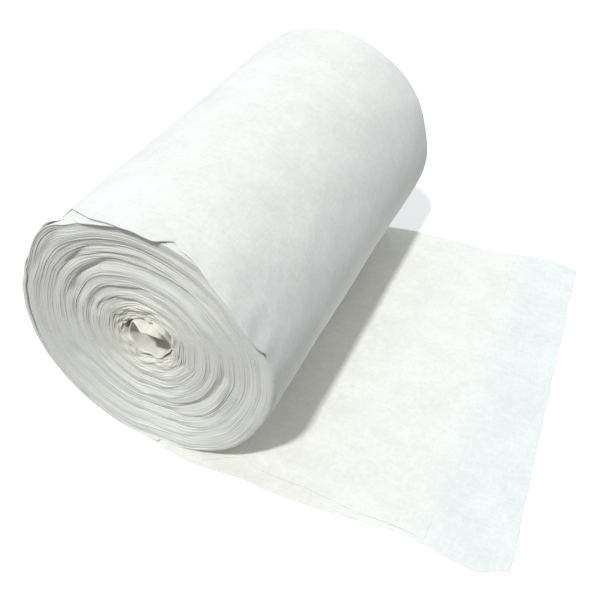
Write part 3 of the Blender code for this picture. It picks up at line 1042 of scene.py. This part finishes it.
@dataclass(frozen=True)
class GauzeFinish:
    """Open cotton gauze in several plies: threads, slubs, painted shade between the threads, and soft mottling,
    over a painted tone of light and shade.
    """

    name: str = "gauze"
    # The painted tone's ends: a cooler, darker painted see-through shade and a painted cream glow; the middle
    # colour is the cloth's own.
    thin_painted_shade: tuple[float, float, float] = (0.80, 0.86, 0.86)
    plain: tuple[float, float, float] = (0.90, 0.905, 0.885)
    painted_glow_cream: tuple[float, float, float] = (0.91, 0.89, 0.815)
    # How dark the painted shade between the threads gets where their cover is thinnest.
    shade: float = 0.86
    warp_pitch: float = 0.00134
    weft_pitch: float = 0.00169
    wander: float = 0.0011
    wander_waves: float = 60.0
    patch_waves: float = 85.0
    patch_range: tuple[float, float] = (0.42, 0.66)
    slub_waves: tuple[tuple[float, float], tuple[float, float]] = ((560.0, 210.0), (190.0, 520.0))
    slub_least: float = 0.55
    blotch_waves: float = 30.0
    nap_waves: float = 300.0
    cover_shares: tuple[float, float, float] = (0.20, 0.85, 0.55)
    cover_range: tuple[float, float] = (0.50, 1.02)
    weave_depth: float = 0.00014
    slub_depth: float = 0.00022
    nap_depth: float = 0.00028
    roughness: tuple[float, float] = (0.84, 0.97)
    specular: float = 0.25
    sheen: float = 0.12
    sheen_roughness: float = 0.6

    def material(self) -> bpy.types.Material:
        """The finish as a material.

        A lattice of threads lies on the piece's own map: the larger of two cosine waves at the threads'
        pitches. A noise in space makes the threads wander, and another makes the lattice come and go.
        Slubs are two noises on the same map, stretched along the warp and along the weft. The colour is the
        painted tone's, from a painted cooler, darker see-through shade through the cloth's plain colour to a
        painted cream glow, less a shade where the cover is thin, which is partly painted shade of the plies
        beneath the threads and partly the slubs' and blotches' own uneven tone.

        Returns:
            The material.
        """
        material = bpy.data.materials.new(self.name)
        material.use_nodes = True
        nodes = Nodes(material.node_tree)
        shader = nodes.tree.nodes["Principled BSDF"]
        maths, vector = nodes.maths, nodes.vector

        def noise(waves: float, detail: float, name: str = "Fac") -> bpy.types.NodeSocket:
            """Noise in the piece's own space, in waves a metre."""
            place = nodes.add("ShaderNodeTexCoord").outputs["Object"]
            node = nodes.add("ShaderNodeTexNoise", {"Vector": place, "Scale": waves, "Detail": detail})
            return node.outputs[name]

        def slub(along: float, across: float) -> bpy.types.NodeSocket:
            """Noise on the cloth, in waves a metre along its two directions."""
            stretched = vector("MULTIPLY", placed, (along, across, 0.0))
            node = nodes.add("ShaderNodeTexNoise", {"Vector": stretched, "Scale": 1.0, "Detail": 2.0})
            return node.outputs["Fac"]

        def spread(value: bpy.types.NodeSocket, low: float, high: float) -> bpy.types.NodeSocket:
            """The value's share of the way from low to high, from 0 to 1."""
            node = nodes.add("ShaderNodeMapRange", {"Value": value, "From Min": low, "From Max": high})
            return node.outputs[0]

        drift = vector("SUBTRACT", noise(self.wander_waves, 2.0, "Color"), (0.5, 0.5, 0.5))
        drift = vector("MULTIPLY", drift, (self.wander * 2,) * 3)
        placed = vector("ADD", nodes.add("ShaderNodeUVMap", uv_map=CLOTH_MAP).outputs[0], drift)
        apart = nodes.add("ShaderNodeSeparateXYZ", {0: placed})
        waves = []
        for out, pitch in ((0, self.warp_pitch), (1, self.weft_pitch)):
            turns = maths("MULTIPLY", apart.outputs[out], 2 * np.pi / pitch)
            waves.append(maths("MULTIPLY_ADD", maths("COSINE", turns), 0.5, 0.5))
        coarse = nodes.add("ShaderNodeAttribute", attribute_name=COARSE).outputs["Fac"]
        patches = spread(noise(self.patch_waves, 2.0), *self.patch_range)
        weave = maths("MULTIPLY", maths("MAXIMUM", *waves), maths("MULTIPLY", patches, coarse))
        slubs = maths("MAXIMUM", *(slub(*waves_a_metre) for waves_a_metre in self.slub_waves))
        slubs = maths("MULTIPLY_ADD", maths("SUBTRACT", slubs, self.slub_least), coarse, self.slub_least)
        blotch = noise(self.blotch_waves, 3.0)

        weave_share, slub_share, blotch_share = self.cover_shares
        cover = maths("MULTIPLY_ADD", weave, weave_share, maths("MULTIPLY", slubs, slub_share))
        cover = spread(maths("MULTIPLY_ADD", blotch, blotch_share, cover), *self.cover_range)
        # Painted light: the ramp runs from the painted see-through shade, through the cloth's own colour, to the
        # painted cream glow.
        painted_tone = nodes.add("ShaderNodeAttribute", attribute_name=PAINTED_TONE).outputs["Fac"]
        ramp = nodes.add("ShaderNodeValToRGB", {"Fac": painted_tone})
        ramp.color_ramp.elements.new(0.5)
        for element, colour in zip(ramp.color_ramp.elements, (self.thin_painted_shade, self.plain, self.painted_glow_cream)):
            element.color = (*colour, 1.0)
        # Painted shade: the colour darkens where the cover is thin, for the shade of the plies beneath the
        # threads; the slubs and blotches in the cover are the cloth's own uneven tone.
        light = maths("MULTIPLY_ADD", cover, 1.0 - self.shade, self.shade)
        colour = nodes.add("ShaderNodeVectorMath", {0: ramp.outputs[0], "Scale": light}, operation="SCALE")
        least, most = self.roughness
        rough = nodes.add("ShaderNodeMapRange", {"Value": slubs, "To Min": least, "To Max": most})
        surface = {}
        for height, strength, depth in (
            (noise(self.nap_waves, 4.0), 0.5, self.nap_depth),
            (slubs, 0.8, self.slub_depth),
            (weave, 0.5, self.weave_depth),
        ):
            relief = {"Height": height, "Strength": strength, "Distance": depth}
            surface = {"Normal": nodes.add("ShaderNodeBump", relief | surface).outputs[0]}
        nodes.tree.links.new(colour.outputs[0], shader.inputs["Base Color"])
        nodes.tree.links.new(rough.outputs[0], shader.inputs["Roughness"])
        nodes.tree.links.new(surface["Normal"], shader.inputs["Normal"])
        shader.inputs["Specular IOR Level"].default_value = self.specular
        shader.inputs["Sheen Weight"].default_value = self.sheen
        shader.inputs["Sheen Roughness"].default_value = self.sheen_roughness
        return material


@dataclass(frozen=True)
class PhotoCamera:
    """The camera at the photograph's viewing angle."""

    place: tuple[float, float, float] = (0.1706, -0.3125, 0.3106)
    azimuth: float = 24.4983
    elevation: float = 40.4939
    roll: float = -0.6602
    focal_pixels: float = 767.754
    frame_pixels: float = 600.0
    sensor: float = 36.0

    def build(self) -> None:
        """Makes the camera, which looks against its back direction and is rolled about it."""
        azimuth, elevation, roll = np.radians((self.azimuth, self.elevation, self.roll))
        back = np.array(
            (np.sin(azimuth) * np.cos(elevation), -np.cos(azimuth) * np.cos(elevation), np.sin(elevation))
        )
        right = np.cross(-back, (0, 0, 1))
        right /= np.linalg.norm(right)
        up = np.cross(right, -back)
        turned = np.column_stack(
            (np.cos(roll) * right + np.sin(roll) * up, np.cos(roll) * up - np.sin(roll) * right, back)
        )
        data = bpy.data.cameras.new("photo_camera")
        data.sensor_width = self.sensor
        data.lens = self.focal_pixels / self.frame_pixels * self.sensor
        camera = bpy.data.objects.new("photo_camera", data)
        camera.matrix_world = Matrix.Translation(self.place) @ Matrix(turned.tolist()).to_4x4()
        bpy.context.scene.collection.objects.link(camera)
        bpy.context.scene.camera = camera


@dataclass(frozen=True)
class Studio:
    """A plain pale floor, a broad soft sun from the near side, and a surround that is lighter on the left."""

    floor_half: float = 3.0
    floor_tone: float = 0.93
    floor_glow: float = 0.32
    surround: float = 0.43
    lean: tuple[float, float, float] = (-0.136, 0.27, 0.17)
    bounce: float = 0.34
    bounce_from: tuple[float, float, float] = (-0.76, -0.25, -0.60)
    surround_left: tuple[float, float, float] = (0.95, 1.0, 1.02)
    surround_right: tuple[float, float, float] = (1.0, 0.995, 0.97)
    sun_strength: float = 2.24
    sun_colour: tuple[float, float, float] = (0.97, 1.0, 0.985)
    sun_lean: float = 29.0
    sun_breadth: float = 4.0

    def floor(self) -> None:
        """Makes the floor, a square that glows a little and throws no light on the roll."""
        half = self.floor_half
        corners = [(-half, -half, 0), (half, -half, 0), (half, half, 0), (-half, half, 0)]
        mesh = bpy.data.meshes.new("floor")
        mesh.from_pydata(corners, [], [(0, 1, 2, 3)])
        floor = bpy.data.objects.new("floor", mesh)
        bpy.context.scene.collection.objects.link(floor)
        material = bpy.data.materials.new("pale_floor")
        material.use_nodes = True
        inputs = material.node_tree.nodes["Principled BSDF"].inputs
        inputs["Base Color"].default_value = (self.floor_tone, self.floor_tone, self.floor_tone, 1)
        inputs["Roughness"].default_value = 1.0
        inputs["Specular IOR Level"].default_value = 0.0
        inputs["Emission Color"].default_value = (1, 1, 1, 1)
        inputs["Emission Strength"].default_value = self.floor_glow
        mesh.materials.append(material)
        floor.visible_diffuse = False

    def sun(self) -> None:
        """Makes the sun, which leans towards the near side."""
        light = bpy.data.lights.new("sun", "SUN")
        light.energy = self.sun_strength
        light.color = self.sun_colour
        light.angle = np.radians(self.sun_breadth)
        sun = bpy.data.objects.new("sun", light)
        sun.rotation_euler = (np.radians(self.sun_lean), 0, 0)
        bpy.context.scene.collection.objects.link(sun)

    def surroundings(self) -> None:
        """Makes the surround.

        Its strength is a plain one, plus the direction's share along the lean, plus the bounce times the
        square of the direction's share along where it comes from, where that is above 0. Its colour goes
        from the right one to the left one with the share along the lean.
        """
        world = bpy.data.worlds.new("surround")
        world.use_nodes = True
        nodes = Nodes(world.node_tree)
        inputs = nodes.tree.nodes["Background"].inputs
        direction = nodes.add("ShaderNodeTexCoord").outputs["Generated"]
        lean = nodes.vector("DOT_PRODUCT", direction, self.lean)
        strength = nodes.maths("ADD", lean, self.surround)
        facing = nodes.maths("MAXIMUM", nodes.vector("DOT_PRODUCT", direction, self.bounce_from), 0.0)
        strength = nodes.maths("MULTIPLY_ADD", nodes.maths("POWER", facing, 2.0), self.bounce, strength)
        left = self.lean[0]
        share = nodes.add("ShaderNodeMapRange", {"Value": lean, "From Min": left, "From Max": -left})
        right_to_left = {0: share.outputs[0], 6: (*self.surround_right, 1), 7: (*self.surround_left, 1)}
        colour = nodes.add("ShaderNodeMix", right_to_left, data_type="RGBA")
        nodes.tree.links.new(strength, inputs["Strength"])
        nodes.tree.links.new(colour.outputs[2], inputs["Color"])
        bpy.context.scene.world = world

    def build(self) -> None:
        """Makes the floor, the sun and the surround, and shows colours as they are."""
        self.floor()
        self.sun()
        self.surroundings()
        bpy.context.scene.view_settings.view_transform = "Standard"


CREST_COLUMNS = ("radius", "back", "under_lip")
NEAR_LINES = (
    EdgeLine(
        0.0028, 0.0040, 0.0012,
        (
            (53, 0.0456), (63, 0.0449), (75, 0.0445), (90, 0.0451), (103, 0.0458), (112, 0.0443),
            (122, 0.0427), (139, 0.0411), (149, 0.0408),
        ),
    ),
    EdgeLine(0.0016, 0.0020, 0.0010, ((117, 0.0650), (125, 0.0628), (133, 0.0602), (147, 0.0612))),
    EdgeLine(0.0010, 0.0016, 0.0010, ((150, 0.0403), (168, 0.0391), (179, 0.0403))),
    EdgeLine(
        -0.0012, 0.0030, 0.0011,
        (
            (32, 0.0387), (46, 0.0394), (63, 0.0399), (80, 0.0399), (94, 0.0418), (111, 0.0416), (134, 0.0400),
        ),
    ),
    EdgeLine(0.0012, 0.0010, 0.0012, ((34, 0.0414), (41, 0.0409), (48, 0.0419))),
    EdgeLine(
        0.0018, 0.0018, 0.0008,
        (
            (61, 0.0528), (75, 0.0532), (91, 0.0536), (100, 0.0531), (111, 0.0536), (122, 0.0515),
            (128, 0.0504),
        ),
    ),
    EdgeLine(-0.0011, 0.0010, 0.0008, ((102, 0.0474), (108, 0.0484), (117, 0.0500))),
    EdgeLine(-0.0009, 0.0009, 0.0008, ((90, 0.0518), (95, 0.0513), (101, 0.0508), (109, 0.0514))),
    EdgeLine(-0.0010, 0.0010, 0.0008, ((60, 0.0504), (64, 0.0510), (68, 0.0513), (72, 0.0502))),
    EdgeLine(-0.0009, 0.0008, 0.0007, ((61, 0.0541), (64, 0.0545), (68, 0.0548))),
    EdgeLine(0.0014, 0.0009, 0.0007, ((57, 0.0470), (61, 0.0466), (65, 0.0461))),
    EdgeLine(-0.0014, 0.0012, 0.0008, ((31, 0.0502), (35, 0.0494), (45, 0.0491), (52, 0.0485), (57, 0.0488))),
    EdgeLine(0.0014, 0.0007, 0.0008, ((29, 0.0515), (34, 0.0511), (40, 0.0509))),
    EdgeLine(
        0.0020, 0.0022, 0.0008,
        (
            (82, 0.0318), (95, 0.0301), (105, 0.0300), (118, 0.0309), (142, 0.0310), (153, 0.0308),
        ),
    ),
    EdgeLine(0.0017, 0.0016, 0.0007, ((101, 0.0226), (116, 0.0246), (129, 0.0253), (154, 0.0263))),
    EdgeLine(
        0.0017, 0.0011, 0.0034,
        (
            (210, 0.0463), (216, 0.0437), (230, 0.0424), (245, 0.0433), (273, 0.0433), (293, 0.0401),
            (303, 0.0389), (329, 0.0384), (350, 0.0398),
        ),
    ),
    EdgeLine(
        -0.0011, 0.0012, 0.0016,
        (
            (223, 0.0456), (242, 0.0460), (248, 0.0472), (265, 0.0472), (272, 0.0492),
        ),
    ),
    EdgeLine(-0.0011, 0.0007, 0.0011, ((222, 0.0349), (236, 0.0346), (254, 0.0350), (260, 0.0355))),
    EdgeLine(0.0012, 0.0010, 0.0007, ((222, 0.0334), (240, 0.0331), (258, 0.0336))),
    EdgeLine(-0.0010, 0.0007, 0.0010, ((232, 0.0269), (240, 0.0266), (251, 0.0280))),
    EdgeLine(-0.0010, 0.0008, 0.0010, ((260, 0.0353), (272, 0.0341), (285, 0.0337), (299, 0.0319))),
    EdgeLine(0.0014, 0.0007, 0.0020, ((265, 0.0295), (277, 0.0297), (289, 0.0290), (303, 0.0276))),
    EdgeLine(
        -0.0013, 0.0010, 0.0012,
        (
            (291, 0.0448), (300, 0.0455), (312, 0.0456), (331, 0.0439), (341, 0.0427),
        ),
    ),
    EdgeLine(0.0013, 0.0008, 0.0014, ((298, 0.0477), (308, 0.0488), (315, 0.0482))),
    EdgeLine(-0.0010, 0.0009, 0.0012, ((297, 0.0523), (306, 0.0526), (313, 0.0517))),
    EdgeLine(0.0009, 0.0008, 0.0012, ((299, 0.0553), (306, 0.0557))),
    EdgeLine(-0.0011, 0.0008, 0.0012, ((261, 0.0593), (267, 0.0581))),
    EdgeLine(-0.0011, 0.0008, 0.0012, ((273, 0.0557), (277, 0.0568), (282, 0.0568))),
    EdgeLine(0.0011, 0.0008, 0.0016, ((268, 0.0598), (275, 0.0596), (283, 0.0589), (292, 0.0571))),
    EdgeLine(-0.0010, 0.0008, 0.0012, ((240, 0.0567), (245, 0.0558))),
    EdgeLine(-0.0009, 0.0010, 0.0012, ((205, 0.0518), (209, 0.0508), (213, 0.0500))),
)
NEAR_END = RollEnd(
    crests=Table(
        CREST_COLUMNS,
        (
            (0.011, 0.0060, 0.0060),
            (0.016, 0.0048, 0.0048),
            (0.022, 0.0038, 0.0038),
            (0.034, 0.0030, 0.0030),
            (0.0500, 0.0024, 0.0026),
            (0.0570, 0.0012, 0.0018),
            (0.0610, 0.0004, 0.0014),
            (0.0660, 0.0001, 0.0014),
        ),
    ),
    lines=NEAR_LINES,
    fine=Unevenness(3, (0.0065, 0.8)),
    stray=Unevenness(14, (0.0032, 0.55)),
    groove_depth=0.0006,
    swing_depth=0.0004,
)
FAR_END = RollEnd(
    crests=Table(
        CREST_COLUMNS,
        (
            (0.012, 0.0040, 0.0040),
            (0.018, 0.0024, 0.0024),
            (0.026, 0.0018, 0.0018),
            (0.036, 0.0014, 0.0014),
            (0.042, 0.0026, 0.0026),
            (0.049, 0.0012, 0.0012),
            (0.058, 0.0010, 0.0010),
            (0.065, 0.0018, 0.0018),
        ),
    ),
    lines=(),
    fine=Unevenness(8, (0.0050, 0.8)),
    stray=Unevenness(15, (0.0022, 0.45)),
    swing_phase=2.3,
)
STRETCHES_MEET = 0.52


def main() -> None:
    """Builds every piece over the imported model."""
    logging.basicConfig(level=logging.INFO, format="%(message)s")
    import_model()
    PhotoCamera().build()
    Studio().build()
    shape = RollShape()
    gauze = GauzeFinish().material()
    makers = [
        InnerEnd(shape),
        WoundTurns("inner_turns", shape, NEAR_END, FAR_END, 0.0, STRETCHES_MEET, steps_a_turn=112),
        WoundTurns("outer_turns", shape, NEAR_END, FAR_END, STRETCHES_MEET, 1.0, steps_a_turn=124),
        *(OutermostTurn(shape, ply) for ply in Ply),
    ]
    for maker in makers:
        piece = maker.build()
        piece.data.materials.append(gauze)
        log.info("%s: %d faces", piece.name, len(piece.data.polygons))


if __name__ == "__main__":
    main()
